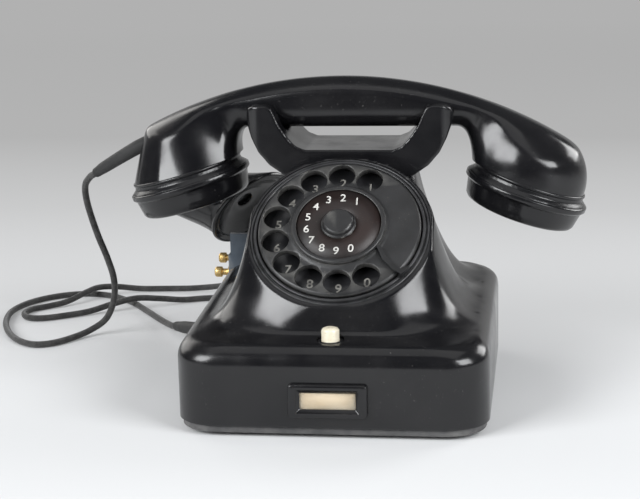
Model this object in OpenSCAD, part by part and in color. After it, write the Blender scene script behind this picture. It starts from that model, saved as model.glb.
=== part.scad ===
// Rotary desk telephone of the 1930s with a second listening receiver.
// Millimetres, X to the right, Y to the rear, Z up, table at Z = 0.

/* [Case] */
// width of the case
body_w = 146; // [138:1:154]
// depth of the case from front wall to rear wall
body_d = 162; // [156:1:168]
// height of the front edge of the case
front_h = 43; // [41:0.5:45]
// rise of the shoulder edge from front to rear
rear_rise = 6; // [4:0.5:7]
// radius of the rounded top edge
edge_r = 9; // [7:0.5:10]
// plan radius of the case corners
corner_r = 20; // [17:0.5:22]
// wall of the moulded case
wall = 3.5; // [3:0.1:4]
// height of the rubber feet
foot_h = 2; // [1.6:0.1:2.4]
// thickness of the base plate
plate_t = 3.5; // [3.1:0.1:3.9]

/* [Neck and cradle] */
// height of the top of the neck
neck_top = 104; // [103:0.5:105]
// width of the neck at the top
neck_w = 62; // [58:1:66]
// distance of the handset axis behind the middle of the case
rest_y = 40.5; // [39:0.5:42]
// depth of the cradle from front prongs to rear prongs
cradle_d = 50; // [48:0.5:52]
// width over the prong tips
cradle_w = 104; // [102:0.5:106]
// travel of the cradle when the handset is lifted
cradle_travel = 5; // [4:0.5:5]

/* [Dial] */
// distance of the dial centre from the middle of the case
dial_y = -26.6; // [-28:0.2:-26]
// height of the dial centre
dial_z = 88; // [87:0.2:89]
// slope of the dial from level
dial_tilt = 41.8; // [40:0.2:43]
// radius of the finger wheel
wheel_r = 39.2; // [38.6:0.1:39.4]
// radius of the circle of finger holes
hole_ring_r = 31.2; // [30.8:0.1:31.6]
// radius of a finger hole
hole_r = 6.6; // [6:0.1:6.8]
// angle between finger holes
hole_step = 25.8; // [25:0.1:26]
// angle of the first finger hole
hole_first = 66; // [64:0.5:68]

/* [Handset] */
// distance of the bowl of the listening end from the middle
bowl_x = 90; // [89:0.5:91]
// tilt of the listening end
bowl_tilt = 19; // [18:0.5:20]
// radius of the bowls
bowl_r = 28.2; // [27.8:0.1:28.6]
// radius of the lip of the screw caps
lip_r = 31.8; // [31.2:0.1:32.2]
// height of the handle above the table at its middle
handle_top = 152.3; // [152:0.1:153]
// underside of the handle
handle_under = 127; // [126.8:0.1:127.4]
// half width of the handle
handle_hw = 13.5; // [12.5:0.1:13.8]

/* [Cords] */
// diameter of the cords
cord_d = 3.6; // [3.2:0.1:3.8]

/* [Hidden] */
// small gaps between pieces
run_gap = 0.05;
rest_gap = 0.4;
seat_gap = 0.1;

bx = body_w / 2;
by = body_d / 2;
plate_z = foot_h;
case_z = plate_z + plate_t;
hs_z = 100.6;

// The speaking end sits closer in and higher than the listening end, and is less tilted.
mouth_shift = [2.2, 4.6];
mouth_turn = 3;
slope = rear_rise / body_d;

// How late the sweep from the ledge to the neck turns upwards.
sweep = 2.25;

// Second receiver: middle of its rim and turn of its axis.
sr = [-65, 104, 70];
sr_turn = [0, 126.87, -36.87];
sr_r = 26.3;

// Closed skin over rings of points, each ring turning to the left about the way to the next one.
module skin(rings) {
    m = len(rings);
    n = len(rings[0]);
    sides = [for (i = [0:m - 2], j = [0:n - 1], k = [0:1])
        k == 0 ? [i * n + j, (i + 1) * n + j, (i + 1) * n + (j + 1) % n]
               : [i * n + j, (i + 1) * n + (j + 1) % n, i * n + (j + 1) % n]];
    bottom = [for (j = [0:n - 1]) j];
    top = [for (j = [n - 1:-1:0]) (m - 1) * n + j];
    polyhedron(points = [for (r = rings) each r], faces = concat([bottom], sides, [top]));
}

// Rounded rectangle from half width, front, rear and corner radius, with q steps to a corner.
function plan(hx, yf, yr, rc, q) = [for (c = [0:3], i = [0:q])
    let (a = c * 90 + i * 90 / q,
         cx = (c == 0 || c == 3) ? hx - rc : rc - hx,
         cy = c < 2 ? yr - rc : yf + rc)
    [cx + rc * cos(a), cy + rc * sin(a)]];

// One ring of the case: the shoulder climbs to the rear by the share k of the slope.
function case_ring(hx, yf, yr, rc, z, k, q) =
    [for (p = plan(hx, yf, yr, rc, q)) [p.x, p.y, z + k * slope * (p.y + by)]];

// Case rings for an inset d of the skin: upright walls, rounded edge, then a hollow sweep to the neck.
function case_rings(d, z0, z1, q, na, ns) = concat(
    [case_ring(bx - d, -by + d, by - d, corner_r - d, z0, 0, q)],
    [for (i = [0:na]) let (a = i * 78 / na, in = edge_r * (1 - cos(a)))
        case_ring(bx - d - in, -by + d + in, by - d - in, corner_r - d,
                  front_h - edge_r - d + edge_r * sin(a), 1, q)],
    [for (i = [1:ns]) let (s = i / ns, e = edge_r * (1 - cos(78)), z = front_h - d - edge_r * (1 - sin(78)))
        case_ring(mix(bx - d - e, neck_w / 2 - d, s), mix(-by + d + e, rest_y - 22.5 + d, s),
                  mix(by - d - e, rest_y + 20.5 - d, s), mix(corner_r, 15, s) - d,
                  z + (z1 - z) * pow(s, sweep), 1 - s, q)]);

function mix(a, b, s) = a + (b - a) * s;
function unit(v) = v / norm(v);

// Points of a smooth route through the given points, k steps from each to the next.
function smooth_route(p, k) = concat([for (i = [0:len(p) - 2], j = [0:k - 1])
    let (a = p[max(i - 1, 0)], b = p[i], c = p[i + 1], d = p[min(i + 2, len(p) - 1)], t = j / k)
    0.5 * (2 * b + (c - a) * t + (2 * a - 5 * b + 4 * c - d) * t * t + (3 * b - a - 3 * c + d) * t * t * t)],
    [p[len(p) - 1]]);

// Way along a route at point i, and side vectors carried along it without twist.
function along(p, i) = unit(p[min(i + 1, len(p) - 1)] - p[max(i - 1, 0)]);
function sides_of(p, i, v) = i >= len(p) ? []
    : let (t = along(p, i), w = unit(v - t * (v * t))) concat([w], sides_of(p, i + 1, w));

// Round tube of n sides along a route, with radius r0 at the start and r1 at the end.
module tube(p, r0, r1, n) {
    w = sides_of(p, 0, [0.1, 0.2, 1]);
    skin([for (i = [0:len(p) - 1])
        let (t = along(p, i), u = w[i], v = cross(t, u), r = mix(r0, r1, i / (len(p) - 1)))
        [for (j = [0:n - 1]) p[i] + r * (cos(360 * j / n) * u + sin(360 * j / n) * v)]]);
}

// Rod from point a to point b.
module rod(a, b, r) {
    d = b - a;
    translate(a)
        rotate([0, acos(d.z / norm(d)), atan2(d.y, d.x)])
            cylinder(h = norm(d), r = r, $fn = 32);
}

module at_dial() {
    translate([0, dial_y, dial_z]) rotate([dial_tilt, 0, 0]) children();
}

// Frame of a capsule: side -1 is the speaking end, +1 the listening end; +Z points out of the cap.
function bowl_at(side) = side < 0 ? [mouth_shift.x - bowl_x, hs_z + mouth_shift.y] : [bowl_x, hs_z];
function tilt_of(side) = side < 0 ? bowl_tilt - mouth_turn : bowl_tilt;

module at_bowl(side) {
    translate([bowl_at(side).x, rest_y, bowl_at(side).y]) rotate([0, side * tilt_of(side), 0])
        rotate([180, 0, 0]) children();
}

module at_listener() {
    translate(sr) rotate(sr_turn) children();
}

module at_corners(x, y) {
    for (i = [-1, 1], j = [-1, 1]) translate([i * x, j * y, 0]) children();
}

// Case

foot_x = 54;
foot_y = 60;
boss_x = 60;
boss_y = 66;
screw_r = 1.6;
dial_flange_z = -10;
dial_bore_r = 34;
bezel_r = 43.4;
guide_r = 7;
button_y = -by + 14.5;
button_r = 4.2;
button_top = front_h + 6.4;
collar_r = 6.2;
collar_seat = front_h - 2;
label_z = 18.8;
gland_y = 58;
gland_z = 12;
gland_r = 4.6;
line_x = 24;
line_z = 14;

module housing() {
    color([0.03, 0.03, 0.035])
    difference() {
        union() {
            difference() {
                union() {
                    skin(case_rings(0, case_z, neck_top, 7, 5, 9));
                    skin(skirt_outer());
                }
                skin(case_rings(wall, case_z - 1, neck_top - 4, 4, 2, 6));
                skin(skirt_inner());
            }
            translate([0, button_y, front_h - 9]) cylinder(h = 8.4, r = collar_r + 2, $fn = 48);
            for (i = [-1, 1], j = [-1, 1]) translate([i * boss_x, j * boss_y, case_z])
                cylinder(h = front_h - 1.5 + slope * (j * boss_y + by) - case_z, r = 5, $fn = 32);
        }
        at_dial() translate([0, 0, dial_flange_z]) cylinder(h = 60, r = bezel_r + seat_gap, $fn = 96);
        at_dial() translate([0, 0, -60]) cylinder(h = 60, r = dial_bore_r, $fn = 96);
        translate([0, button_y, collar_seat]) cylinder(h = 20, r = collar_r + seat_gap, $fn = 48);
        translate([0, button_y, front_h - 12]) cylinder(h = 30, r = button_r + 0.6, $fn = 48);
        translate([0, button_y, front_h - 12]) cylinder(h = 6, r = collar_r + 1, $fn = 48);
        translate([0, rest_y, 80]) cylinder(h = 40, r = guide_r + run_gap, $fn = 48);
        at_corners(boss_x, boss_y) translate([0, 0, case_z - 1])
            cylinder(h = 16, r = screw_r + run_gap, $fn = 24);
        translate([-bx - 5, gland_y, gland_z]) rotate([0, 90, 0])
            cylinder(h = 12, r = gland_r + seat_gap, $fn = 32);
        translate([line_x, by - 6, line_z]) rotate([-90, 0, 0]) cylinder(h = 12, r = 4 + run_gap, $fn = 32);
        translate([-60, rest_y - cradle_d / 2 - 0.6, neck_top]) cube([120, 60, 30]);
    }
}

// Pedestal under the dial: from the round seat of the dial down to a rounded oblong that flares into the ledge.
skirt_r = bezel_r + 2.1;
skirt_q = 11;

function skirt_top(r, z) = [for (c = [0:3], i = [0:skirt_q])
    let (a = c * 90 + 45 + (i / skirt_q - 0.5) * 64, x = r * cos(a), y = r * sin(a))
    [x, dial_y + y * cos(dial_tilt) - z * sin(dial_tilt), dial_z + y * sin(dial_tilt) + z * cos(dial_tilt)]];
function skirt_foot(hx, yf, yr, rc, z) = case_ring(hx, yf, yr, rc, z, 1, skirt_q);
function between(a, b, s) = [for (i = [0:len(a) - 1]) mix(a[i], b[i], s)];

// Hollow sweep between two rings: even in plan, slow and then steep in height
function swept(a, b, s) = [for (i = [0:len(a) - 1])
    [mix(a[i].x, b[i].x, s), mix(a[i].y, b[i].y, s), mix(a[i].z, b[i].z, pow(s, 1.9))]];

function skirt_outer() = let (
    top = skirt_top(skirt_r, -2.4),
    foot = skirt_foot(64, -61.5, 46, 27, front_h + 0.2))
    concat([skirt_foot(58, -58, 42, 25, front_h - 4)], [for (i = [0:9]) swept(foot, top, i / 10)], [top]);

function skirt_inner() = let (
    top = skirt_top(skirt_r - 7.5, dial_flange_z - 6),
    foot = skirt_foot(52 - wall, -57 + wall, 40 - wall, 25 - wall, front_h + 5))
    [skirt_foot(52 - wall, -57 + wall, 40 - wall, 25 - wall, front_h - 12), foot, between(foot, top, 0.5), top];

module base_plate() {
    color([0.25, 0.25, 0.26])
    difference() {
        translate([0, 0, plate_z]) linear_extrude(plate_t)
            polygon(plan(bx - 1.5, -by + 1.5, by - 1.5, corner_r - 1.5, 12));
        at_corners(boss_x, boss_y) translate([0, 0, plate_z - 1])
            cylinder(h = plate_t + 2, r = screw_r + run_gap, $fn = 24);
    }
}

module base_screws() {
    color([0.6, 0.58, 0.52])
    at_corners(boss_x, boss_y) {
        translate([0, 0, plate_z - 1.3]) cylinder(h = 1.3, r = 3.2, $fn = 32);
        translate([0, 0, plate_z - 1]) cylinder(h = 14, r = screw_r, $fn = 24);
    }
}

module rubber_feet() {
    color([0.12, 0.11, 0.1])
    at_corners(foot_x - 8, foot_y + 2)
        rotate_extrude($fn = 40) polygon([[0, 0], [5.4, 0], [6.2, 1], [6.2, foot_h], [0, foot_h]]);
}

// Number card on the front wall

frame_w = 36.6;
frame_h = 15.8;
frame_t = 2.6;
view_w = 25.8;
view_h = 7.8;
view_slope = 1.7;

module label_frame() {
    color([0.04, 0.04, 0.045])
    translate([0, -by, label_z]) rotate([90, 0, 0])
    difference() {
        skin([for (p = [[0, 0], [0, frame_t - 0.8], [0.3, frame_t - 0.2], [0.9, frame_t]])
            [for (q = plan(frame_w / 2 - p.x, p.x - frame_h / 2, frame_h / 2 - p.x, 1.8 - p.x, 3)) [q.x, q.y, p.y]]]);
        skin([for (p = [[0, -1], [0, 1.1], [view_slope, frame_t - 0.1], [view_slope, frame_t + 1]])
            [for (q = plan(view_w / 2 + p.x, -view_h / 2 - p.x, view_h / 2 + p.x, 0.5, 2)) [q.x, q.y, p.y]]]);
        translate([-14.7, -5.7, -1]) cube([29.4, 11.4, 1.9]);
    }
}

module label_card() {
    color([0.8, 0.72, 0.55])
    translate([-14.6, -by - 0.4, label_z - 5.6]) cube([29.2, 0.4, 11.2]);
}

module label_window() {
    color([0.9, 0.9, 0.88, 0.4])
    translate([-14.6, -by - 0.9, label_z - 5.6]) cube([29.2, 0.5, 11.2]);
}

// Push button on the ledge

module button_collar() {
    color([0.05, 0.05, 0.055])
    translate([0, button_y, collar_seat]) rotate_extrude($fn = 48)
        polygon([[button_r + 0.35, 0], [collar_r, 0], [collar_r, 2], [collar_r - 0.6, 2.5], [button_r + 0.35, 2.5]]);
}

module earth_button() {
    color([0.9, 0.87, 0.78])
    translate([0, button_y, 0]) rotate_extrude($fn = 48)
        polygon([[0, front_h - 11], [button_r + 1.6, front_h - 11], [button_r + 1.6, front_h - 9],
                 [button_r, front_h - 9], [button_r, button_top - 1.4],
                 [button_r - 0.5, button_top - 0.5], [button_r - 1.6, button_top], [0, button_top]]);
}

module button_spring_set() {
    color([0.72, 0.6, 0.35])
    translate([-8, button_y - 6, case_z]) {
        cube([16, 12, 8]);
        translate([0, 0, 8]) cube([3, 12, front_h - 22.7 - case_z + 0.5]);
        translate([0, 4, front_h - 15.5 - case_z]) cube([16, 4, 0.8]);
    }
}

// Dial

module dial_bezel() {
    color([0.035, 0.035, 0.04])
    at_dial() rotate_extrude($fn = 120)
        polygon([[wheel_r + 0.6, -8], [bezel_r, -8], [bezel_r, -2.9], [bezel_r - 0.6, -2.3], [bezel_r - 1.2, -2.5],
                 [bezel_r - 1.5, -3.2], [bezel_r - 1.9, -3.2], [bezel_r - 2.1, -1.8], [bezel_r - 2.4, -1.5],
                 [wheel_r + 1, -1.5], [wheel_r + 0.6, -2]]);
}

module dial_number_ring() {
    color([0.07, 0.06, 0.06])
    at_dial() difference() {
        translate([0, 0, -8]) cylinder(h = 1.2, r = wheel_r + 0.2, $fn = 96);
        translate([0, 0, -9]) cylinder(h = 4, r = 22, $fn = 64);
    }
}

stop_a = -38;

module finger_stop() {
    color([0.1, 0.1, 0.11])
    at_dial() rotate([0, 0, stop_a]) {
        translate([wheel_r + 0.9, -3, -1.5]) cube([2.2, 6, 3]);
        translate([0, 0, 1]) linear_extrude(1.4)
            polygon([[42.3, -3], [42.3, 2.4], [40, -0.6], [36.5, -1.2], [29.8, 0.4], [23.6, 3.4], [22.6, 1.8], [29.2, -1.8],
                     [36.5, -3.2]]);
    }
}

module dial_frame() {
    color([0.55, 0.54, 0.5])
    at_dial() difference() {
        union() {
            translate([0, 0, dial_flange_z]) cylinder(h = 2, r = bezel_r - 0.4, $fn = 96);
            translate([0, 0, -36]) cylinder(h = 27, r = dial_bore_r - 1, $fn = 72);
        }
        translate([0, 0, -33]) cylinder(h = 23, r = dial_bore_r - 3.5, $fn = 72);
        translate([0, 0, -50]) cylinder(h = 60, r = shaft_r + run_gap, $fn = 40);
        rotate([0, 0, 200]) translate([19.5, 0, -35]) cylinder(h = 10, r = 1.2 + run_gap, $fn = 24);
    }
}

shaft_r = 4;

module finger_wheel() {
    color([0.09, 0.09, 0.1])
    at_dial() difference() {
        rotate_extrude($fn = 120)
            polygon([[shaft_r + 0.02, -3.4], [wheel_r - 1, -3.4], [wheel_r, -2.6], [wheel_r, -0.9], [wheel_r - 1.1, 0],
                     [25, 0], [22.8, 1], [shaft_r + 0.02, 1]]);
        for (i = [0:9]) rotate([0, 0, hole_first + i * hole_step]) translate([hole_ring_r, 0, -5])
            cylinder(h = 8, r = hole_r, $fn = 48);
    }
}

module dial_card() {
    color([0.08, 0.05, 0.045])
    at_dial() difference() {
        translate([0, 0, 1]) cylinder(h = 1.2, r = 21, $fn = 72);
        cylinder(h = 4, r = shaft_r + 0.02, $fn = 40);
    }
}

module dial_card_ring() {
    color([0.1, 0.1, 0.11])
    at_dial() rotate_extrude($fn = 96)
        polygon([[21 + run_gap, 1], [22.7, 1], [22.7, 2.6], [22, 3.2], [20.4, 3], [20.4, 2.2], [21 + run_gap, 2.2]]);
}

module dial_centre_cap() {
    color([0.05, 0.05, 0.055])
    at_dial() rotate_extrude($fn = 64)
        polygon([[0, 3.2], [4.2, 3.2], [4.2, 2.2], [8.4, 2.2], [8.4, 2.8], [7.6, 3.4], [7.1, 5], [6.4, 5.6], [0, 5.6]]);
}

module dial_shaft() {
    color([0.65, 0.63, 0.58])
    at_dial()
        translate([0, 0, -35.8]) cylinder(h = 38.8, r = shaft_r, $fn = 40);
}

module dial_gear() {
    color([0.75, 0.62, 0.32])
    at_dial() translate([0, 0, -26]) difference() {
        union() {
            cylinder(h = 3, r = 14.2, $fn = 72);
            for (i = [0:29]) rotate([0, 0, i * 12]) translate([13.8, -0.6, 0]) cube([1.2, 1.2, 3]);
        }
        translate([0, 0, -1]) cylinder(h = 6, r = shaft_r + 0.02, $fn = 40);
    }
}

module governor() {
    color([0.7, 0.6, 0.4])
    at_dial() rotate([0, 0, 200]) translate([19.5, 0, 0]) {
        translate([0, 0, -34.5]) cylinder(h = 22, r = 1.2, $fn = 24);
        translate([0, 0, -26]) cylinder(h = 3, r = 3.6, $fn = 32);
        translate([0, 0, -19]) cylinder(h = 4, r = 3, $fn = 32);
        translate([-8, -2, -18.5]) cube([16, 4, 3]);
    }
}

// Ringer

gong_x = 27;
gong_y = by - 31;
gong_z = 18;
clap_y = 14;
clap_z = 22;

module ringer_frame() {
    color([0.45, 0.44, 0.42])
    {
        translate([-22, -10, case_z]) cube([44, 22, 3]);
        translate([-4, clap_y - 9, case_z]) cube([8, 8, clap_z - case_z - 0.2]);
        translate([0, clap_y - 5, case_z]) cylinder(h = clap_z - case_z + 2, r = 1.4, $fn = 24);
    }
}

module ringer_coils() {
    color([0.5, 0.2, 0.12])
    for (i = [-1, 1]) translate([i * 12, -2, case_z + 3]) {
        cylinder(h = 1.5, r = 9, $fn = 40);
        cylinder(h = 18, r = 7.6, $fn = 40);
        translate([0, 0, 16.5]) cylinder(h = 1.5, r = 9, $fn = 40);
    }
}

module gong() {
    rotate_extrude($fn = 72)
        polygon([[3 + run_gap, 12], [6, 12], [9, 11.6], [15, 9.6], [19, 6], [21.2, 0], [22.4, 0], [20.2, 7], [16, 11],
                 [9.6, 13.2], [3 + run_gap, 13.6]]);
}

module gong_left() {
    color([0.72, 0.6, 0.34])
    translate([-gong_x, gong_y, gong_z]) gong();
}

module gong_right() {
    color([0.72, 0.6, 0.34])
    translate([gong_x, gong_y, gong_z]) gong();
}

module gong_posts() {
    color([0.6, 0.58, 0.52])
    for (i = [-1, 1]) translate([i * gong_x, gong_y, case_z]) {
        cylinder(h = gong_z + 14 - case_z, r = 3, $fn = 32);
        cylinder(h = gong_z + 12 - case_z, r = 5, $fn = 32);
    }
}

module clapper() {
    color([0.62, 0.6, 0.55])
    translate([0, clap_y - 5, clap_z]) {
        difference() {
            union() {
                cylinder(h = 5.4, r = 4, $fn = 32);
                translate([-14, -3, 5]) cube([28, 6, 1.6]);
            }
            translate([0, 0, -1]) cylinder(h = 3.6, r = 1.4 + run_gap, $fn = 24);
        }
        translate([0, 3, 2]) rotate([-90, 0, 0]) cylinder(h = gong_y - clap_y + 2, r = 0.8, $fn = 24);
        translate([0, gong_y - clap_y + 5, 2]) sphere(r = 2.4, $fn = 32);
    }
}

// Speech parts on the base plate

module induction_coil() {
    color([0.2, 0.35, 0.22])
    translate([-44, -22, case_z + 12]) rotate([0, 90, 0]) translate([0, 0, -18]) {
        cylinder(h = 36, r = 9.5, $fn = 48);
        for (z = [0, 33]) translate([-12, -12, z]) cube([24, 24, 3]);
    }
}

module capacitor() {
    color([0.62, 0.63, 0.64])
    translate([28, -38, case_z]) cube([34, 30, 22]);
}

module terminal_block() {
    color([0.15, 0.1, 0.08])
    difference() {
        translate([-58, 12, case_z]) cube([24, 12, 9]);
        for (i = [0:2]) translate([-53 + i * 7, 18, case_z + 3]) cylinder(h = 10, r = 1.5 + run_gap, $fn = 24);
    }
}

module terminal_screws() {
    color([0.75, 0.62, 0.32])
    for (i = [0:2]) translate([-53 + i * 7, 18, 0]) {
        translate([0, 0, case_z + 3]) cylinder(h = 6.5, r = 1.5, $fn = 24);
        translate([0, 0, case_z + 9]) cylinder(h = 1.6, r = 2.8, $fn = 24);
    }
}

// Hook switch

lever_y = 19;
lever_z = 60;
stem_r = 4;
stem_end = lever_z + 3 + rest_gap;

module hook_frame() {
    color([0.5, 0.49, 0.46])
    {
        for (i = [-1, 1]) {
            translate([i * 17 - 2, lever_y - 4, case_z]) cube([4, 8, lever_z - case_z + 4]);
            translate([i * 17 - 5, lever_y - 5, case_z]) cube([10, 10, 2]);
        }
        translate([-17, lever_y, lever_z]) rotate([0, 90, 0]) cylinder(h = 34, r = 1.8, $fn = 24);
        translate([15, lever_y + 3, lever_z - 14]) cube([4, 22, 4]);
    }
}

module hook_contacts() {
    color([0.8, 0.7, 0.5])
    translate([13, lever_y + 12, lever_z - 10])
        for (i = [0:2]) translate([0, 0, i * 2]) {
            cube([8, 12, 2]);
            translate([-6, 1.5 + i * 4, 0.6]) cube([8, 2, 0.5]);
        }
}

module hook_lever() {
    color([0.6, 0.58, 0.52])
    difference() {
        union() {
            translate([-12, lever_y, lever_z]) rotate([0, 90, 0]) cylinder(h = 24, r = 4, $fn = 40);
            translate([-5, lever_y, lever_z - 1]) cube([10, rest_y - lever_y + 5, 4]);
        }
        translate([-20, lever_y, lever_z]) rotate([0, 90, 0]) cylinder(h = 40, r = 1.8 + run_gap, $fn = 24);
    }
}

// Cradle: one moulding with two prongs in front and two behind

saddle_z = handle_under - rest_gap;
cradle_bottom = neck_top + 0.6;
prong_r = 9;

cradle_side = [[31.5, cradle_bottom], [40, 110.5], [45.5, 117], [49, 124], [cradle_w / 2 - 0.6, 131],
    [cradle_w / 2, 136], [cradle_w / 2 - 1.4, 139], [cradle_w / 2 - 4.5, 140.2], [41.5, 140.2], [38.6, 138.8],
    [36.8, 135], [34.6, 130], [30, 123.4], [26.5, 119.8], [22, 118]];

// Plan of the cradle with rounded corners, so that each prong is round at its outer edge.
module cradle_plan() {
    x = cradle_w / 2;
    y = cradle_d / 2;
    for (i = [-1, 1], j = [-1, 1]) translate([i * (x - prong_r), j * (y - prong_r), 0])
        cylinder(h = 50, r = prong_r, $fn = 64);
    translate([-x, prong_r - y, 0]) cube([2 * x, 2 * (y - prong_r), 50]);
    translate([prong_r - x, -y, 0]) cube([2 * (x - prong_r), 2 * y, 50]);
}

module cradle() {
    color([0.03, 0.03, 0.035])
    difference() {
        intersection() {
            translate([0, rest_y + cradle_d / 2, 0]) rotate([90, 0, 0]) linear_extrude(cradle_d)
                polygon(concat(cradle_side, [for (i = [len(cradle_side) - 1:-1:0]) [-cradle_side[i].x, cradle_side[i].y]]));
            translate([0, rest_y, cradle_bottom - 1]) cradle_plan();
        }
        translate([-80, rest_y - handle_hw - 1.2, saddle_z]) cube([160, 2 * handle_hw + 2.4, 40]);
        translate([0, rest_y, neck_top - 5]) cylinder(h = 10, r = stem_r + 0.02, $fn = 40);
    }
}

module cradle_stem() {
    color([0.7, 0.68, 0.62])
    translate([0, rest_y, stem_end]) cylinder(h = neck_top + 5 - stem_end, r = stem_r, $fn = 40);
}

module cradle_guide() {
    color([0.65, 0.55, 0.3])
    translate([0, rest_y, 0]) difference() {
        union() {
            translate([0, 0, 84]) cylinder(h = neck_top - 84, r = guide_r, $fn = 48);
            translate([0, 0, neck_top - 6]) cylinder(h = 2, r = guide_r + 4, $fn = 48);
        }
        translate([0, 0, 70]) cylinder(h = 60, r = stem_r + run_gap, $fn = 40);
    }
}

// Handset

// The handle is a bar with rounded lower edges that widens into the bowls; its back is one long crown.
crown_r = 216;
crown_x = -5.6;
crown_w = 40;
fillet_x = 53;

function ramp(t) = let (c = min(max(t, 0), 1)) c * c * (3 - 2 * c);
function handle_low(x) = let (side = x < 0 ? -1 : 1, b = bowl_at(side))
    max(handle_under - 0.12 * pow(max(abs(x) - fillet_x, 0), 2),
        b.y + min(abs(b.x) - abs(x), bowl_r) * tan(tilt_of(side)) + 0.5);
function handle_half(x) = handle_hw + 2.5 * ramp((abs(x) - fillet_x) / 24) - 9 * ramp((abs(x) - 80) / 20);
function handle_flare(x) = 0.42 * ramp((abs(x) - fillet_x) / 30);
function handle_ring(x) = let (w = handle_half(x), z = handle_low(x), f = handle_flare(x),
    rise = handle_top - 4 - 0.0022 * x * x - z,
    side = [[w - 9 + f * rise, z], [w - 5 + f * rise, z + 0.6], [w - 2 + f * rise, z + 2.6],
            [w - 0.4 + f * rise * 0.75, z + rise * 0.3], [w + f * rise * 0.35, z + rise * 0.6], [w, handle_top + 5]])
    concat([for (p = side) [x, rest_y + p.x, p.y]], [for (i = [5:-1:0]) [x, rest_y - side[i].x, side[i].y]]);

module crown() {
    translate([crown_x, rest_y, handle_top - crown_r]) rotate([90, 0, 0]) rotate_extrude($fn = 180) {
        translate([crown_r - crown_w, 0]) circle(r = crown_w, $fn = 120);
        translate([crown_r - 140, -crown_w]) square([140 - crown_w, 2 * crown_w]);
    }
}

// Bowl of the speaking end is a plain cone, that of the listening end a dome.
module bowl_cone() {
    rotate_extrude($fn = 72)
        polygon([[0, 0], [bowl_r, 0], [bowl_r - 0.6, -1.2], [bowl_r - 15.9, -27.5], [bowl_r - 18.5, -32], [0, -34]]);
}

module bowl_dome() {
    rotate_extrude($fn = 72)
        polygon(concat([[0, 0]], [for (i = [0:12]) [bowl_r * cos(i * 7.5), -26 * sin(i * 7.5)]]));
}

module handset_body() {
    color([0.03, 0.03, 0.035])
    difference() {
        intersection() {
            union() {
                skin([for (i = [-18:18]) handle_ring(sign(i) * (abs(i) < 3 ? 24 * abs(i) : 42 + 3.1 * abs(i)))]);
                at_bowl(-1) bowl_cone();
                at_bowl(1) bowl_dome();
            }
            crown();
        }
        for (s = [-1, 1]) at_bowl(s) {
            translate([0, 0, -5]) cylinder(h = 20, r = 22.5, $fn = 64);
            translate([0, 0, -12]) cylinder(h = 20, r = 16.5, $fn = 64);
        }
        rod(sleeve_root, sleeve_root + [-32, 10, -14], sleeve_r + seat_gap);
    }
}

collar_t = 5.6;

module cap_collar() {
    rotate_extrude($fn = 96)
        polygon([[22.5, 0], [bowl_r + 0.4, 0], [bowl_r + 0.9, 0.5], [bowl_r + 0.9, 1.3], [bowl_r + 0.3, 1.9],
                 [bowl_r + 0.7, 3.6], [lip_r - 0.7, collar_t], [22.5, collar_t]]);
}

module transmitter_collar() {
    color([0.03, 0.03, 0.035])
    at_bowl(-1) cap_collar();
}

module receiver_collar() {
    color([0.03, 0.03, 0.035])
    at_bowl(1) cap_collar();
}

// Screw cap with lip, tapered flank and dished face.
module screw_cap() {
    rotate_extrude($fn = 96)
        polygon([[0, 16.4], [14, 16], [20.5, 17], [21, collar_t], [lip_r - 0.6, collar_t], [lip_r, collar_t + 0.6],
                 [lip_r, collar_t + 2.6], [lip_r - 0.8, collar_t + 3.4], [lip_r - 1.6, collar_t + 3.9],
                 [lip_r - 3.2, 17.2], [lip_r - 4.2, 18.6], [lip_r - 6, 19.4], [lip_r - 9, 19.6], [14, 18.4], [0, 18]]);
}

module transmitter_cap() {
    color([0.03, 0.03, 0.035])
    at_bowl(-1) difference() {
        screw_cap();
        for (i = [0:5]) rotate([0, 0, i * 60]) translate([8, 0, 10]) cylinder(h = 12, r = 1.5, $fn = 20);
        translate([0, 0, 10]) cylinder(h = 12, r = 1.5, $fn = 20);
    }
}

module receiver_cap() {
    color([0.03, 0.03, 0.035])
    at_bowl(1) difference() {
        screw_cap();
        for (i = [0:5]) rotate([0, 0, i * 60]) translate([7, 0, 10]) cylinder(h = 12, r = 1.3, $fn = 20);
    }
}

module capsule() {
    rotate_extrude($fn = 64)
        polygon([[0, -12], [16, -12], [16, -5], [22, -5], [22, 2], [20.4, 3], [20.4, 11], [17, 13], [0, 13]]);
}

module transmitter_capsule() {
    color([0.6, 0.6, 0.6])
    at_bowl(-1) capsule();
}

module receiver_capsule() {
    color([0.55, 0.55, 0.5])
    at_bowl(1) capsule();
}

// Cords

cord_r = cord_d / 2;
sleeve_root = [-105.5, 38.5, 119];
sleeve_tip = [-141, 58, 99];
sleeve_way = unit([-14, 10, -9]);
sleeve_r = 4;
gland_tip = [-108, 90, 5.5];
gland_way = unit([-9, 12, -2.5]);
end_gap = 0.05;

module handset_cord_sleeve() {
    color([0.06, 0.06, 0.06])
    tube(smooth_route([sleeve_root, sleeve_root + [-8, 2.5, -3.5], [-124, 46, 109.5], sleeve_tip - 8 * sleeve_way,
                       sleeve_tip - 4 * sleeve_way, sleeve_tip], 2), sleeve_r, 2.6, 12);
}

module handset_cord_gland() {
    color([0.06, 0.06, 0.06])
    {
        translate([-bx - 1.6, gland_y, gland_z]) rotate([0, 90, 0]) cylinder(h = 1.6, r = 6.6, $fn = 40);
        tube(smooth_route([[-bx + 4, gland_y, gland_z], [-bx - 4, gland_y, gland_z], [-88, 66, 10.5],
                           gland_tip - 12 * gland_way, gland_tip - 6 * gland_way, gland_tip], 2), gland_r, 2.6, 12);
    }
}

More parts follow.
